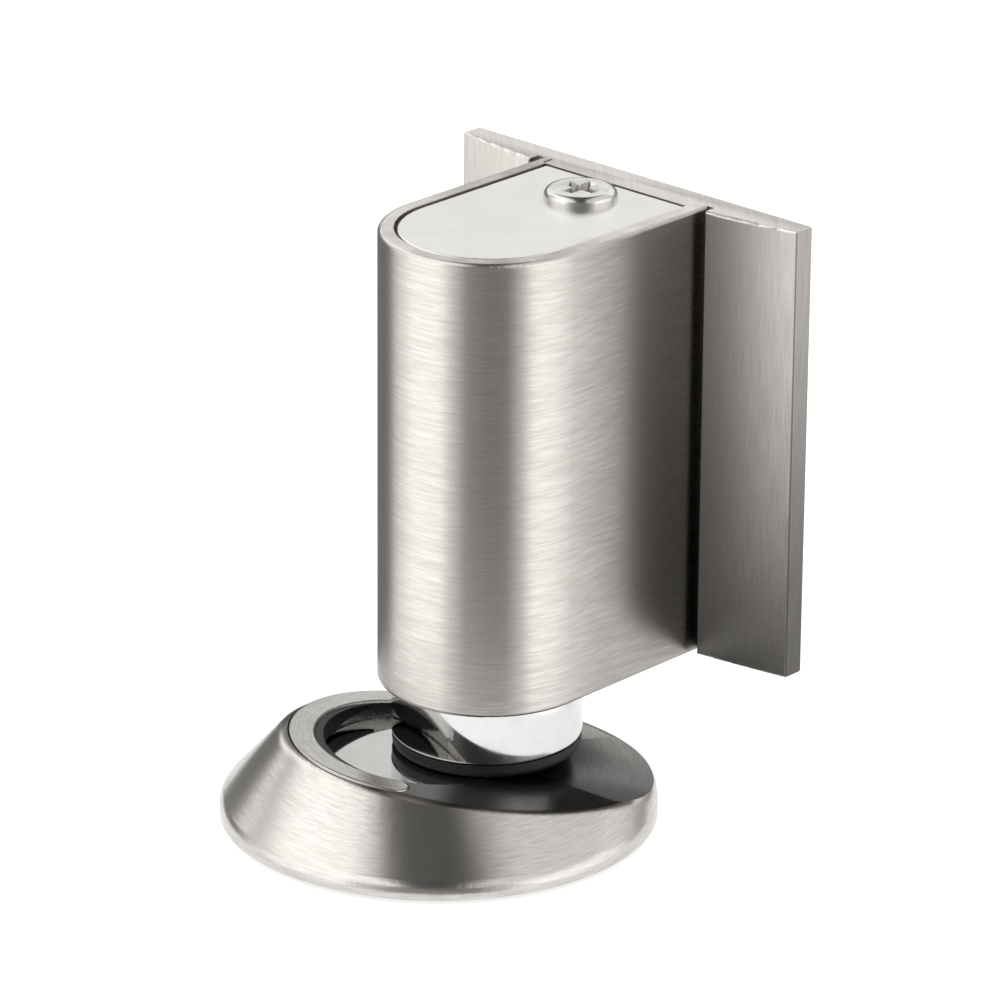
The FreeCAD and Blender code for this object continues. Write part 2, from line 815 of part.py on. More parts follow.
def spring_section(step, height):
    """The wire's section at one step along the coil, as corners of a regular outline."""
    turn = 2 * math.pi * step / spring_steps
    outward = Vector(math.cos(turn), math.sin(turn), 0)
    rise = height * step / (spring_steps * spring_turns)
    centre = outward * spring_radius + UP * (spring_bottom + spring_wire + rise)
    corners = []
    for side in range(spring_sides):
        angle = 2 * math.pi * side / spring_sides
        corner = outward * (spring_wire * math.cos(angle)) + UP * (spring_wire * math.sin(angle))
        corners.append(centre + corner)
    return corners


def return_spring():
    """The compression spring between the upper bush and the stem's washer, in short flat facets."""
    height = spring_length - 2 * spring_wire - 2 * spring_seat_gap
    last = spring_steps * spring_turns
    sections = [spring_section(step, height) for step in range(last + 1)]
    faces = [Part.Face(Part.makePolygon(end + end[:1])) for end in (sections[0], sections[-1])]
    for near, ahead in zip(sections, sections[1:]):
        for side in range(spring_sides):
            other = (side + 1) % spring_sides
            a, b, c, d = near[side], near[other], ahead[other], ahead[side]
            faces.append(Part.Face(Part.makePolygon([a, b, c, a])))
            faces.append(Part.Face(Part.makePolygon([a, c, d, a])))
    body = Part.makeSolid(Part.makeShell(faces))
    body.translate(UP * spring_seat_gap)
    return to_row(body)


def stem_washer():
    """The steel washer on the stem's shoulder."""
    return to_row(ring(washer_radius, thread_radius + fit_gap, shoulder, nut_bottom))


def stem_nut():
    """The hexagon nut on top of the stem."""
    corner = nut_across_flats / 2.0 / math.cos(math.radians(30))
    points = []
    for index in range(7):
        angle = math.radians(60 * index)
        points.append(Vector(corner * math.cos(angle), corner * math.sin(angle), nut_bottom))
    body = Part.Face(Part.makePolygon(points)).extrude(UP * nut_height)
    body = body.cut(cylinder(thread_radius + fit_gap, nut_bottom - 1, far * 2))
    return to_row(body)


def bumper_washer():
    """The rubber washer that quiets the plunger's return."""
    return to_row(ring(bumper_radius, stem_radius + bumper_gap, boss_top, bumper_top))


def magnet_pot():
    """The steel pot round the magnet, open at the foot."""
    body = cylinder(pot_radius, pot_bottom, pot_bottom + pot_height)
    room_top = pot_bottom + pot_height - pot_wall
    body = body.cut(cylinder(pot_radius - pot_wall, pot_bottom - 1, room_top))
    return to_row(body.cut(cylinder(small_screw_radius + foot_screw_gap, 0, far)))


def magnet():
    """The countersunk ring magnet in the pot."""
    body = cylinder(pot_radius - pot_wall - magnet_gap, magnet_bottom, magnet_top)
    gap = magnet_bore - small_screw_radius
    place = foot_screw_place()
    sink = screw_room(small_screw_radius, small_screw_head, gap, far, place, UP)
    return to_row(body.cut(sink))


def foot_screw_place():
    """The head of the screw in the magnet."""
    return Vector(0, 0, magnet_bottom + foot_screw_sink)


def foot_screw():
    """The countersunk screw that holds magnet, pot and cup to the stem."""
    place = foot_screw_place()
    return to_row(sunk_screw(small_screw_radius, small_screw_head, foot_screw_length, place, UP))


def rubber_ring():
    """The rubber ring under the cup; its neck sits in the cup's groove."""
    bottom = strike_height + rubber_gap
    shelf = cup_bottom - fit_gap
    neck_top = cup_bottom + rubber_groove_depth - fit_gap
    points = [
        (rubber_inner + fit_gap, bottom),
        (rubber_outer, bottom),
        (rubber_outer, shelf),
        (rubber_neck - fit_gap, shelf),
        (rubber_neck - fit_gap, neck_top),
        (rubber_inner + fit_gap, neck_top),
    ]
    body = turned(points)
    low_edges = []
    for edge in body.Edges:
        box = edge.BoundBox
        if box.ZMax < bottom + 0.01 and box.XMax > rubber_outer - 0.01:
            low_edges.append(edge)
    return to_row(body.makeFillet(rubber_edge, low_edges))


# -------------------------------------------------------------------------------------- export
NODES = {
    "base_shell": base_shell,
    "catch_ring": catch_ring,
    "ring_screws": ring_screws,
    "buffer_strip": buffer_strip,
    "strike_disc": strike_disc,
    "floor_plate": floor_plate,
    "clamp_screw": clamp_screw,
    "base_gasket": base_gasket,
    "door_plate": door_plate,
    "housing_sleeve": housing_sleeve,
    "top_cap": top_cap,
    "cap_screw": cap_screw,
    "core_frame": core_frame,
    "core_screws": core_screws,
    "bottom_cover": bottom_cover,
    "bottom_screw": bottom_screw,
    "upper_bush": lambda: guide_bush(True),
    "lower_bush": lambda: guide_bush(False),
    "plunger_cup": plunger_cup,
    "plunger_stem": plunger_stem,
    "return_spring": return_spring,
    "stem_washer": stem_washer,
    "stem_nut": stem_nut,
    "bumper_washer": bumper_washer,
    "magnet_pot": magnet_pot,
    "magnet": magnet,
    "foot_screw": foot_screw,
    "rubber_ring": rubber_ring,
}

os.makedirs("parts", exist_ok=True)
for name, make in NODES.items():
    shape = make()
    shape.exportStep("parts/" + name + ".step")
    print(name, len(shape.Solids), "solid(s)", round(shape.Volume, 1), "mm3", shape.isValid())
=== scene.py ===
# %% [markdown]
# # A magnetic floor door holder, in satin nickel
# The holder is two things that meet near the floor: a housing on the door with a plunger that
# drops out of it, and a low round base with a steel disc that the plunger's magnet takes hold of.
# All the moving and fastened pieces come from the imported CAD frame, so this file only adds looks:
# light, a camera, and a finish for each metal, rubber and plastic.

# %% load the frame
import math

import bpy
from mathutils import Matrix, Vector


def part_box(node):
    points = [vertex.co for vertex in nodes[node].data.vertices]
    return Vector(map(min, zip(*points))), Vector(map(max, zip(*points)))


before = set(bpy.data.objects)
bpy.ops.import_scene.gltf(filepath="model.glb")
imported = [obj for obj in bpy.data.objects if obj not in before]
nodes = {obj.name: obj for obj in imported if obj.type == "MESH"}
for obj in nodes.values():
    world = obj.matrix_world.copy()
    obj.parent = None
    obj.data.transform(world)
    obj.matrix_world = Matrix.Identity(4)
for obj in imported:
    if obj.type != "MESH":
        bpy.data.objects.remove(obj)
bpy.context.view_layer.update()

scene = bpy.context.scene

# %% [markdown]
# ## Where things are
# The plunger's axis and the housing's span are worked out from the boxes of the CAD nodes; the
# floor and the camera's aim further down are given numbers. The plunger's axis is the middle of the
# chrome cup, and the base's axis is the origin. Lengths are in metres.

# %% key places
cup_low, cup_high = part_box("plunger_cup")
sleeve_low, sleeve_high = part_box("housing_sleeve")
plate_low, plate_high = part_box("door_plate")
plunger_x = (cup_low.x + cup_high.x) / 2
plunger_y = (cup_low.y + cup_high.y) / 2
floor_z = 0.0
print("plunger axis at", round(plunger_x, 4), round(plunger_y, 4))
print("housing from", round(sleeve_low.z, 4), "to", round(sleeve_high.z, 4))

# %% [markdown]
# ## The camera
# A small shiny object is best seen from well back through a long lens, so that its upright edges
# stay nearly parallel. The camera is set by its azimuth, its elevation and its distance from a
# point inside the housing, and it is rolled by less than half a degree.

# %% camera
CAMERA_AZIMUTH = math.radians(42.794)
CAMERA_ELEVATION = math.radians(21.659)
CAMERA_ROLL = math.radians(-0.421)
CAMERA_DISTANCE = 0.7096
AIM = Vector((0.00049, 0.00951, 0.03529))
SENSOR = 36.0
LENS = 225.57


def place_camera(aim, azimuth, elevation, distance, roll):
    """A camera that looks at aim; azimuth 0 looks along +Y."""
    back = Vector(
        (
            math.sin(azimuth) * math.cos(elevation),
            -math.cos(azimuth) * math.cos(elevation),
            math.sin(elevation),
        )
    )
    right = (-back).cross(Vector((0, 0, 1))).normalized()
    up = right.cross(-back)
    turned_right = right * math.cos(roll) - up * math.sin(roll)
    turned_up = right * math.sin(roll) + up * math.cos(roll)
    data = bpy.data.cameras.new("camera")
    data.sensor_width = SENSOR
    data.lens = LENS
    data.clip_start = 0.01
    camera = bpy.data.objects.new("camera", data)
    turn = Matrix((turned_right, turned_up, back)).transposed()
    camera.matrix_world = Matrix.Translation(aim + back * distance) @ turn.to_4x4()
    scene.collection.objects.link(camera)
    return camera


scene.camera = place_camera(
    AIM, CAMERA_AZIMUTH, CAMERA_ELEVATION, CAMERA_DISTANCE, CAMERA_ROLL
)
print("camera at", [round(v, 3) for v in scene.camera.matrix_world.translation])

# %% [markdown]
# ## The studio
# Brushed metal shows its shape only through what it reflects, so the room matters as much as the
# finish. The room here is a plain world with two tall light walls, left and right of the camera,
# a pale wall behind the object, a dim stretch at the camera's side, and a ceiling that is light on
# the left, dark in the middle and half light on the right. An upright cylinder then shows two
# light bands and a dark one between them, and flat tops catch the pale wall behind. The levels
# were found by trial: they stand in for a real room, and no such room was measured.
# A world was chosen over lamps because it has no edges, so every other angle stays just as soft.

# %% room helpers
ROOM_PEAK = 1.65
CEILING = [
    (0.0, 0.9), (0.22, 1.05), (0.32, 0.95), (0.41, 0.06), (0.56, 0.05), (0.67, 0.62), (1.0, 0.5),
]
CAMERA_SIDE_DEGREES = [
    (-180, 0.12), (-128, 0.12), (-103, 0.70), (-84, 1.0), (-54, 1.0), (-36, 0.48), (-22, 0.20),
    (0, 0.16), (18, 0.15), (32, 0.40), (50, 0.98), (72, 1.0), (98, 0.86), (122, 0.30), (180, 0.12),
]


def math_node(tree, operation, *values):
    """One Math node; each value is a number or a socket."""
    node = tree.nodes.new("ShaderNodeMath")
    node.operation = operation
    for socket, value in zip(node.inputs, values):
        if isinstance(value, (int, float)):
            socket.default_value = value
        else:
            tree.links.new(value, socket)
    return node.outputs[0]


def dot_node(tree, vector, direction):
    """The part of a direction that lies along a fixed one."""
    node = tree.nodes.new("ShaderNodeVectorMath")
    node.operation = "DOT_PRODUCT"
    tree.links.new(vector, node.inputs[0])
    node.inputs[1].default_value = direction
    return node.outputs["Value"]


def smooth_step(tree, value, low, high):
    """0 below low, 1 above high, and a soft change between."""
    node = tree.nodes.new("ShaderNodeMapRange")
    node.interpolation_type = "SMOOTHSTEP"
    tree.links.new(value, node.inputs["Value"])
    node.inputs["From Min"].default_value = low
    node.inputs["From Max"].default_value = high
    return node.outputs["Result"]


def soft_ramp(tree, value, levels):
    """A soft run of greys through (place, level) pairs, from the first to the last."""
    ramp = tree.nodes.new("ShaderNodeValToRGB")
    tree.links.new(value, ramp.inputs["Fac"])
    ramp.color_ramp.interpolation = "EASE"
    stops = ramp.color_ramp.elements
    for index, (place, level) in enumerate(levels):
        stop = stops[index] if index < 2 else stops.new(place)
        stop.position = place
        stop.color = (level, level, level, 1)
    return ramp.outputs["Color"]


def wall_ramp(tree, turn):
    """Brightness of the room's walls against the angle from the camera's side."""
    levels = [(degrees / 360 + 0.5, level) for degrees, level in CAMERA_SIDE_DEGREES]
    return soft_ramp(tree, math_node(tree, "MULTIPLY_ADD", turn, 0.5 / math.pi, 0.5), levels)


def ceiling_ramp(tree, across):
    """Brightness of the ceiling from left to right: a light left side, a dark middle strip."""
    return soft_ramp(tree, math_node(tree, "MULTIPLY_ADD", across, 0.5, 0.5), CEILING)


def mixed(tree, amount, low, high):
    """A value between two sockets."""
    difference = math_node(tree, "SUBTRACT", high, low)
    return math_node(tree, "ADD", low, math_node(tree, "MULTIPLY", difference, amount))


def build_room():
    """The world: light walls left and right, a pale wall behind, plain white to the camera."""
    world = bpy.data.worlds.new("studio_room")
    world.use_nodes = True
    tree = world.node_tree
    background = tree.nodes["Background"]
    direction = tree.nodes.new("ShaderNodeTexCoord").outputs["Generated"]
    right = Vector((math.cos(CAMERA_AZIMUTH), math.sin(CAMERA_AZIMUTH), 0))
    front = Vector((math.sin(CAMERA_AZIMUTH), -math.cos(CAMERA_AZIMUTH), 0))
    across = dot_node(tree, direction, right)
    toward = dot_node(tree, direction, front)
    height = dot_node(tree, direction, (0, 0, 1))
    turn = math_node(tree, "ARCTAN2", across, toward)
    walls = wall_ramp(tree, turn)
    behind = smooth_step(tree, math_node(tree, "MULTIPLY", toward, -1.0), *BACK_WALL_TURN)
    over_floor = smooth_step(tree, height, *BACK_WALL_FOOT)
    back_wall = math_node(tree, "MULTIPLY", behind, over_floor)
    sides = math_node(tree, "MAXIMUM", walls, math_node(tree, "MULTIPLY", back_wall, BACK_LEVEL))
    overhead = smooth_step(tree, height, *CEILING_EDGE)
    level = mixed(tree, overhead, sides, ceiling_ramp(tree, across))
    strength = math_node(tree, "MULTIPLY", level, ROOM_PEAK)
    camera_ray = tree.nodes.new("ShaderNodeLightPath").outputs["Is Camera Ray"]
    seen = math_node(tree, "MULTIPLY", camera_ray, PLAIN_WHITE)
    unseen = math_node(tree, "MULTIPLY", math_node(tree, "SUBTRACT", 1.0, camera_ray), strength)
    total = math_node(tree, "ADD", seen, unseen)
    background.inputs["Color"].default_value = ROOM_COLOUR
    tree.links.new(total, background.inputs["Strength"])
    scene.world = world


# %% build the room
BACK_LEVEL = 0.84
BACK_WALL_TURN = (0.15, 0.65)
BACK_WALL_FOOT = (0.16, 0.36)
CEILING_EDGE = (0.48, 0.72)
ROOM_COLOUR = (1.0, 0.995, 0.985, 1)
PLAIN_WHITE = 0.97
build_room()
print("world:", scene.world.name)

# %% [markdown]
# ## Light for the floor, and the floor
# One big lamp overhead lights only what is matt: the floor, the rubber and the plastics. Metals
# don't see it, so it can be as wide as it likes. The floor is a pale plane. Metals see only the
# patch of it close to the holder, as they would see a small white table top, and the rest of what
# they see below them is the dim room.


# %% floor and lamp
def overhead_lamp(aim, height, size, power):
    """A wide lamp straight above, hidden from mirror-like surfaces."""
    data = bpy.data.lights.new("overhead", "AREA")
    data.shape = "DISK"
    data.size = size
    data.energy = power
    lamp = bpy.data.objects.new("overhead", data)
    lamp.location = aim + Vector((0, 0, height))
    lamp.visible_glossy = False
    scene.collection.objects.link(lamp)
    return lamp


def round_sheet(name, radius, z, segments=96):
    """A flat round mesh, face up."""
    turns = [2 * math.pi * index / segments for index in range(segments)]
    points = [(radius * math.cos(turn), radius * math.sin(turn), z) for turn in turns]
    mesh = bpy.data.meshes.new(name)
    mesh.from_pydata(points, [], [tuple(range(segments))])
    sheet = bpy.data.objects.new(name, mesh)
    scene.collection.objects.link(sheet)
    return sheet


LAMP_HEIGHT = 1.1
LAMP_SIZE = 1.6
LAMP_POWER = 11.0
FLOOR_RADIUS = 6.0
FLOOR_DROP = 0.0003
NEAR_FLOOR_RADIUS = 0.046
NEAR_FLOOR_DROP = 0.0002
overhead_lamp(Vector((0, 0, 0)), LAMP_HEIGHT, LAMP_SIZE, LAMP_POWER)
floor = round_sheet("floor", FLOOR_RADIUS, floor_z - FLOOR_DROP)
floor.visible_glossy = False
near_floor = round_sheet("near_floor", NEAR_FLOOR_RADIUS, floor_z - NEAR_FLOOR_DROP)
near_floor.visible_camera = False
near_floor.visible_diffuse = False
near_floor.visible_shadow = False

floor_paint = bpy.data.materials.new("floor_paint")
floor_paint.use_nodes = True
floor_shader = floor_paint.node_tree.nodes["Principled BSDF"]
floor_shader.inputs["Base Color"].default_value = (0.25, 0.25, 0.25, 1)
floor_shader.inputs["Roughness"].default_value = 0.9
floor_shader.inputs["Emission Color"].default_value = (1.0, 1.0, 1.0, 1)
floor_shader.inputs["Emission Strength"].default_value = 0.80
for sheet in (floor, near_floor):
    sheet.data.materials.append(floor_paint)

scene.view_settings.view_transform = "Standard"
scene.view_settings.look = "None"
print("room, lamp and floor are in")

# %% [markdown]
# ## Brush marks as a shared effect
# Satin nickel can be made by drawing an abrasive belt over the plated or bare metal. It leaves fine
# parallel scratches, some longer and deeper than others. Every brushed piece here uses one node
# group for that: it takes a position whose third part runs across the scratches, stretches two
# noises along them, and gives out a streak value and a height. The materials decide how much of
# it goes into colour, roughness and bump.


# %% node group helpers
def new_group(name, inputs, outputs):
    """An empty shader node group with named sockets; each input is (name, kind, value)."""
    group = bpy.data.node_groups.new(name, "ShaderNodeTree")
    for title, kind, value in inputs:
        socket = group.interface.new_socket(name=title, in_out="INPUT", socket_type=kind)
        if value is not None:
            socket.default_value = value
    for title, kind in outputs:
        group.interface.new_socket(name=title, in_out="OUTPUT", socket_type=kind)
    entry = group.nodes.new("NodeGroupInput")
    leave = group.nodes.new("NodeGroupOutput")
    return group, entry, leave


def stretched(tree, vector, along, across):
    """The vector scaled by along in its first two parts, and by across in its third."""
    combine = tree.nodes.new("ShaderNodeCombineXYZ")
    for title, value in (("X", along), ("Y", along), ("Z", across)):
        if isinstance(value, (int, float)):
            combine.inputs[title].default_value = value
        else:
            tree.links.new(value, combine.inputs[title])
    scale = tree.nodes.new("ShaderNodeVectorMath")
    scale.operation = "MULTIPLY"
    tree.links.new(vector, scale.inputs[0])
    tree.links.new(combine.outputs[0], scale.inputs[1])
    return scale.outputs[0]


def noise_node(tree, vector, detail, roughness):
    """A noise at scale 1, so that its grain is set by the vector alone."""
    noise = tree.nodes.new("ShaderNodeTexNoise")
    noise.inputs["Scale"].default_value = 1.0
    noise.inputs["Detail"].default_value = detail
    noise.inputs["Roughness"].default_value = roughness
    tree.links.new(vector, noise.inputs["Vector"])
    return noise.outputs["Fac"]


# %% the brush marks group
def build_brush_marks():
    """Fine and coarse scratches: Position, Along and Across in; Streaks and Height out."""
    group, entry, leave = new_group(
        "brush_marks",
        [
            ("Position", "NodeSocketVector", None),
            ("Along", "NodeSocketFloat", 60.0),
            ("Across", "NodeSocketFloat", 4200.0),
        ],
        [("Streaks", "NodeSocketFloat"), ("Height", "NodeSocketFloat")],
    )
    position = entry.outputs["Position"]
    along, across = entry.outputs["Along"], entry.outputs["Across"]
    fine = noise_node(group, stretched(group, position, along, across), 3.0, 0.65)
    few = math_node(group, "MULTIPLY", across, 0.4)
    coarse = noise_node(group, stretched(group, position, along, few), 2.0, 0.55)
    fine_share = math_node(group, "MULTIPLY", fine, 0.7)
    coarse_share = math_node(group, "MULTIPLY", coarse, 0.3)
    both = math_node(group, "ADD", fine_share, coarse_share)
    streaks = smooth_step(group, both, 0.30, 0.70)
    group.links.new(streaks, leave.inputs["Streaks"])
    group.links.new(fine, leave.inputs["Height"])
    return group


brush_marks = build_brush_marks()
print("group:", brush_marks.name)

# %% [markdown]
# ## Which way the scratches run
# The housing's scratches lie level, as they do when a part is brushed round. The plate's stand
# upright. The base's are rings about its own axis, as if it was spun against the belt. The group
# wants a position whose third part crosses the scratches. For level ones that is simply height.
# For upright ones height trades places with the side-to-side part. For rings, the first two parts
# become a direction from the axis, which closes on itself with no seam, and the third is how far
# down and out the point lies.


# %% grain directions
def object_position(tree):
    """The point on the piece, in metres, which rides along with it."""
    return tree.nodes.new("ShaderNodeTexCoord").outputs["Object"]


def level_grain(tree):
    """For scratches that lie level."""
    return object_position(tree)


def upright_grain(tree):
    """For scratches that stand upright on the door plate."""
    parts = tree.nodes.new("ShaderNodeSeparateXYZ")
    tree.links.new(object_position(tree), parts.inputs[0])
    whole = tree.nodes.new("ShaderNodeCombineXYZ")
    tree.links.new(parts.outputs["Z"], whole.inputs["X"])
    sideways = math_node(tree, "ADD", parts.outputs["X"], parts.outputs["Y"])
    tree.links.new(sideways, whole.inputs["Z"])
    return whole.outputs[0]


def ring_grain(tree):
    """For scratches that run round the base's axis."""
    parts = tree.nodes.new("ShaderNodeSeparateXYZ")
    tree.links.new(object_position(tree), parts.inputs[0])
    x, y, z = parts.outputs
    flat = tree.nodes.new("ShaderNodeCombineXYZ")
    tree.links.new(x, flat.inputs["X"])
    tree.links.new(y, flat.inputs["Y"])
    length = tree.nodes.new("ShaderNodeVectorMath")
    length.operation = "LENGTH"
    tree.links.new(flat.outputs[0], length.inputs[0])
    reach = length.outputs["Value"]
    whole = tree.nodes.new("ShaderNodeCombineXYZ")
    for part, title in ((x, "X"), (y, "Y")):
        heading = math_node(tree, "DIVIDE", part, math_node(tree, "ADD", reach, 1e-6))
        tree.links.new(math_node(tree, "MULTIPLY", heading, RING_GRAIN_REACH), whole.inputs[title])
    tree.links.new(math_node(tree, "SUBTRACT", reach, z), whole.inputs["Z"])
    return whole.outputs[0]


RING_GRAIN_REACH = 0.02

# %% [markdown]
# ## Satin nickel
# One builder makes every brushed finish from the same recipe: a warm grey metal whose colour,
# roughness and bump all carry the scratches. Scratches scatter light mostly across themselves,
# so the shader is anisotropic, and its turn decides which way a highlight is drawn out.


# %% brushed metal
def set_inputs(shader, values):
    """Sets a shader's plain sockets by name."""
    for title, value in values.items():
        shader.inputs[title].default_value = value


def blank_material(name):
    """A new material and its principled shader."""
    material = bpy.data.materials.new(name)
    material.use_nodes = True
    return material, material.node_tree, material.node_tree.nodes["Principled BSDF"]


def between(tree, amount, low, high):
    """A number that runs from low to high with amount."""
    return math_node(tree, "MULTIPLY_ADD", amount, high - low, low)


def colour_between(tree, amount, dark, light):
    """A colour that runs from dark to light with amount."""
    mix = tree.nodes.new("ShaderNodeMix")
    mix.data_type = "RGBA"
    tree.links.new(amount, mix.inputs[0])
    mix.inputs[6].default_value = (*dark, 1)
    mix.inputs[7].default_value = (*light, 1)
    return mix.outputs[2]


def bump(tree, shader, height, distance, strength):
    """Feeds a height into the shader's normal."""
    node = tree.nodes.new("ShaderNodeBump")
    node.inputs["Distance"].default_value = distance
    node.inputs["Strength"].default_value = strength
    tree.links.new(height, node.inputs["Height"])
    tree.links.new(node.outputs["Normal"], shader.inputs["Normal"])


def object_range(tree, part, low, high):
    """0 to 1 as one part of the position on the piece goes from low to high, softly."""
    parts = tree.nodes.new("ShaderNodeSeparateXYZ")
    tree.links.new(object_position(tree), parts.inputs[0])
    return smooth_step(tree, parts.outputs[part], low, high)


def shaded(tree, colour, amount, share):
    """The colour, taken down to share of itself where amount is 1."""
    mix = tree.nodes.new("ShaderNodeMix")
    mix.data_type = "RGBA"
    mix.blend_type = "MULTIPLY"
    tree.links.new(amount, mix.inputs[0])
    tree.links.new(colour, mix.inputs[6])
    mix.inputs[7].default_value = (share, share, share, 1)
    return mix.outputs[2]


def no_shade(tree, colour):
    """The colour as it is."""
    return colour


def brushed_metal(
    name, grain, dark, light, rough, along, across, draw_out, turn, depth, shade=no_shade
):
    """A brushed metal: grain gives the direction, rough is (low, high), shade darkens it."""
    material, tree, shader = blank_material(name)
    marks = tree.nodes.new("ShaderNodeGroup")
    marks.node_tree = brush_marks
    marks.inputs["Along"].default_value = along
    marks.inputs["Across"].default_value = across
    tree.links.new(grain(tree), marks.inputs["Position"])
    streaks = marks.outputs["Streaks"]
    colour = shade(tree, colour_between(tree, streaks, dark, light))
    tree.links.new(colour, shader.inputs["Base Color"])
    tree.links.new(between(tree, streaks, rough[1], rough[0]), shader.inputs["Roughness"])
    set_inputs(shader, {"Metallic": 1.0, "Anisotropic": draw_out, "Anisotropic Rotation": turn})
    tangent = tree.nodes.new("ShaderNodeTangent")
    tangent.direction_type = "RADIAL"
    tangent.axis = "Z"
    tree.links.new(tangent.outputs[0], shader.inputs["Tangent"])
    bump(tree, shader, marks.outputs["Height"], depth, 1.0)
    return material


# %% [markdown]
# ## Stand-ins for shade
# The room's reflections leave some faces lighter than they should be: the housing near the plate,
# the lower plate and the base's upward faces. The three functions below darken the metal's own
# colour there. They stand in for lighting. They say nothing about how a real finish differs from
# place to place, and they stay with the part when the light changes.


# %% darkening by place and facing
def facing(tree, part):
    """How far a face looks along X, Y or Z."""
    parts = tree.nodes.new("ShaderNodeSeparateXYZ")
    tree.links.new(tree.nodes.new("ShaderNodeNewGeometry").outputs["Normal"], parts.inputs[0])
    return parts.outputs[part]


def towards_plate(tree, colour):
    """The housing's upright faces grow darker towards the plate."""
    near = object_range(tree, "Y", plunger_y - SHADE_HALF_SPAN, plunger_y + SHADE_HALF_SPAN)
    upright = math_node(tree, "SUBTRACT", 1.0, smooth_step(tree, facing(tree, "Z"), 0.4, 0.9))
    return shaded(tree, colour, math_node(tree, "MULTIPLY", near, upright), NEAR_PLATE_SHARE)


def down_the_wing(tree, colour):
    """The plate grows darker towards its lower end and on its two narrow ends."""
    rising = object_range(tree, "Z", plate_low.z, plate_high.z + WING_SHADE_RISE)
    falling = math_node(tree, "SUBTRACT", 1.0, rising)
    sideways = math_node(tree, "ABSOLUTE", facing(tree, "X"))
    ends = smooth_step(tree, sideways, 0.5, 0.9)
    return shaded(tree, shaded(tree, colour, falling, WING_FOOT_SHARE), ends, WING_END_SHARE)


def flat_top(tree, colour):
    """The base's upward faces are darker than its sides, most of all towards the front."""
    top = smooth_step(tree, facing(tree, "Z"), 0.84, 0.98)
    toward = dot_node(tree, object_position(tree), BASE_FRONT)
    front = smooth_step(tree, toward, HOLLOW_SHADE_START, HOLLOW_SHADE_END)
    hollow = math_node(tree, "MULTIPLY", top, front)
    return shaded(tree, shaded(tree, colour, top, TOP_SHARE), hollow, HOLLOW_SHARE)


SHADE_HALF_SPAN = 0.007
NEAR_PLATE_SHARE = 0.56
WING_SHADE_RISE = 0.006
WING_FOOT_SHARE = 0.30
WING_END_SHARE = 0.55
BASE_FRONT = (math.sin(CAMERA_AZIMUTH), -math.cos(CAMERA_AZIMUTH), 0.0)
HOLLOW_SHADE_START = -0.012
HOLLOW_SHADE_END = 0.001
TOP_SHARE = 0.44
HOLLOW_SHARE = 0.30

# %% the brushed finishes
DRAWN_UPRIGHT = 0.25
DRAWN_LEVEL = 0.0
satin_housing = brushed_metal(
    "satin_housing", level_grain, (0.52, 0.497, 0.470), (0.66, 0.632, 0.600),
    (0.26, 0.34), 260.0, 5200.0, 0.75, DRAWN_UPRIGHT, 0.000003, towards_plate,
)
satin_plate = brushed_metal(
    "satin_plate", upright_grain, (0.64, 0.612, 0.580), (0.76, 0.728, 0.691),
    (0.32, 0.40), 200.0, 5200.0, 0.6, DRAWN_LEVEL, 0.000001, down_the_wing,
)
satin_base = brushed_metal(
    "satin_base", ring_grain, (0.52, 0.499, 0.474), (0.66, 0.636, 0.607),
    (0.20, 0.27), 420.0, 5200.0, 0.7, DRAWN_UPRIGHT, 0.0000025, flat_top,
)
satin_cap = brushed_metal(
    "satin_cap", level_grain, (0.76, 0.75, 0.735), (0.79, 0.78, 0.765),
    (0.29, 0.31), 300.0, 5200.0, 0.0, DRAWN_LEVEL, 0.0000002,
)
satin_ring = brushed_metal(
    "satin_ring", ring_grain, (0.38, 0.370, 0.356), (0.45, 0.438, 0.424),
    (0.24, 0.30), 400.0, 4600.0, 0.3, DRAWN_LEVEL, 0.000002,
)
print("brushed finishes:", [m.name for m in bpy.data.materials if m.name.startswith("satin")])

# %% [markdown]
# ## Polished and plated steel
# The plunger's cup is chromed and the strike disc is polished, so both are near mirrors. A real
# mirror finish on small hardware is never perfect: wide, faint waves in the polish and a few
# wipe marks change its roughness slightly from place to place. The disc's colour is darker than
# polished steel really is, another stand-in for a darker room. The screws and the plated steel
# use the same builder, only rougher.


# %% polished metal
def build_wipe_marks():
    """Faint broad waves and wipe marks: Position and Size in; Marks out, from 0 to 1."""
    group, entry, leave = new_group(
        "wipe_marks",
        [("Position", "NodeSocketVector", None), ("Size", "NodeSocketFloat", 300.0)],
        [("Marks", "NodeSocketFloat")],
    )
    size = entry.outputs["Size"]
    vector = stretched(group, entry.outputs["Position"], size, size)
    wave = noise_node(group, vector, 4.0, 0.6)
    group.links.new(smooth_step(group, wave, 0.35, 0.75), leave.inputs["Marks"])
    return group


wipe_marks = build_wipe_marks()


def marked(tree, size):
    """The wipe marks group placed in a material."""
    marks = tree.nodes.new("ShaderNodeGroup")
    marks.node_tree = wipe_marks
    marks.inputs["Size"].default_value = size
    tree.links.new(object_position(tree), marks.inputs["Position"])
    return marks.outputs["Marks"]


def polished_metal(name, dark, light, rough, size):
    """A near mirror with faint wipe marks."""
    material, tree, shader = blank_material(name)
    marks = marked(tree, size)
    tree.links.new(colour_between(tree, marks, light, dark), shader.inputs["Base Color"])
    tree.links.new(between(tree, marks, rough[0], rough[1]), shader.inputs["Roughness"])
    set_inputs(shader, {"Metallic": 1.0})
    return material


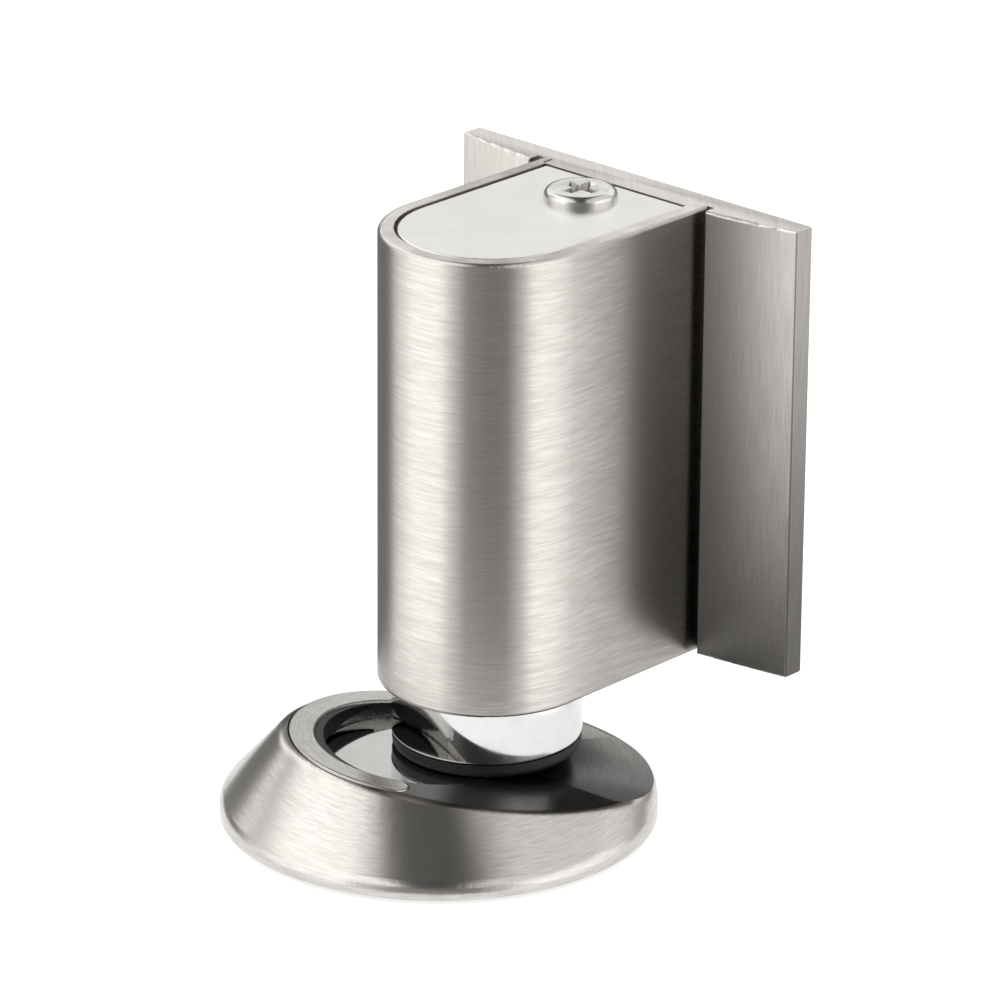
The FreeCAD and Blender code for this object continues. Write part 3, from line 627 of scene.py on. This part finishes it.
chrome_plate = polished_metal(
    "chrome_plate", (0.70, 0.70, 0.70), (0.75, 0.75, 0.75),
    (0.05, 0.10), 260.0,
)
polished_steel = polished_metal(
    "polished_steel", (0.40, 0.39, 0.385), (0.44, 0.43, 0.425),
    (0.03, 0.07), 200.0,
)
lapped_disc = polished_metal(
    "lapped_disc", (0.35, 0.345, 0.338), (0.38, 0.375, 0.367),
    (0.05, 0.09), 200.0,
)
screw_plate = polished_metal(
    "screw_plate", (0.52, 0.51, 0.49), (0.62, 0.61, 0.59),
    (0.16, 0.26), 700.0,
)
zinc_plate = polished_metal(
    "zinc_plate", (0.50, 0.52, 0.54), (0.62, 0.64, 0.66),
    (0.22, 0.38), 900.0,
)
magnet_nickel = polished_metal(
    "magnet_nickel", (0.58, 0.57, 0.55), (0.66, 0.65, 0.63),
    (0.12, 0.2), 400.0,
)
spring_wire = polished_metal(
    "spring_wire", (0.25, 0.25, 0.26), (0.36, 0.36, 0.37),
    (0.24, 0.36), 1200.0,
)

# %% [markdown]
# ## Castings, rubber and plastic
# What doesn't shine is told apart by its grain: a casting has a fine sandy skin, moulded rubber
# is nearly black and dry, and moulded plastic is smooth with a soft sheen. One builder makes
# them all from a noise at the right size, with different colours, roughness and depth.


# %% matt materials
def matt_material(name, dark, light, rough, size, depth, metallic=0.0):
    """A moulded or cast surface with a fine grain in colour, roughness and bump."""
    material, tree, shader = blank_material(name)
    grain = noise_node(tree, stretched(tree, object_position(tree), size, size), 4.0, 0.6)
    tree.links.new(colour_between(tree, grain, dark, light), shader.inputs["Base Color"])
    tree.links.new(between(tree, grain, rough[0], rough[1]), shader.inputs["Roughness"])
    set_inputs(shader, {"Metallic": metallic})
    bump(tree, shader, grain, depth, 0.6)
    return material


cast_alloy = matt_material(
    "cast_alloy", (0.34, 0.34, 0.34), (0.52, 0.52, 0.52),
    (0.45, 0.6), 2600.0, 0.00003, 1.0,
)
# Black rubber. On the buffer strip its black is also painted shade at the back of the catch ring's
# pocket.
black_rubber = matt_material(
    "black_rubber", (0.006, 0.006, 0.006), (0.016, 0.016, 0.016),
    (0.42, 0.6), 3500.0, 0.00001,
)
black_plastic = matt_material(
    "black_plastic", (0.012, 0.012, 0.012), (0.03, 0.03, 0.03),
    (0.35, 0.5), 3000.0, 0.00001,
)
natural_acetal = matt_material(
    "natural_acetal", (0.74, 0.73, 0.68), (0.82, 0.81, 0.77),
    (0.3, 0.45), 2000.0, 0.000005,
)
print("materials:", len(bpy.data.materials))

# %% [markdown]
# ## Finishing the CAD pieces
# The CAD pieces already have their real shapes and edges, so they stay as they are, and each
# only gets its finish. No piece is added or replaced.

# %% a finish for every node
FINISHES = {
    satin_housing: ["housing_sleeve"],
    satin_plate: ["door_plate"],
    satin_base: ["base_shell"],
    satin_cap: ["top_cap"],
    satin_ring: ["catch_ring"],
    chrome_plate: ["plunger_cup"],
    lapped_disc: ["strike_disc"],
    polished_steel: ["plunger_stem"],
    screw_plate: ["cap_screw"],
    zinc_plate: [
        "ring_screws", "floor_plate", "clamp_screw", "core_screws", "bottom_screw",
        "stem_washer", "stem_nut", "magnet_pot", "foot_screw",
    ],
    magnet_nickel: ["magnet"],
    spring_wire: ["return_spring"],
    cast_alloy: ["core_frame"],
    # buffer_strip is a rubber buffer in the catch ring's pocket, and its black crescent also stands
    # in for the shade and dark reflection at the back of that pocket.
    black_rubber: ["buffer_strip", "base_gasket", "bumper_washer", "rubber_ring"],
    black_plastic: ["bottom_cover"],
    natural_acetal: ["upper_bush", "lower_bush"],
}


def give_finish(node, material):
    """Puts one material in every slot of a CAD node."""
    slots = nodes[node].material_slots
    if not slots:
        nodes[node].data.materials.append(material)
    for slot in slots:
        slot.material = material


for material, names in FINISHES.items():
    for name in names:
        give_finish(name, material)
finished = sum(len(names) for names in FINISHES.values())
print("finished nodes:", finished, "of", len(nodes))
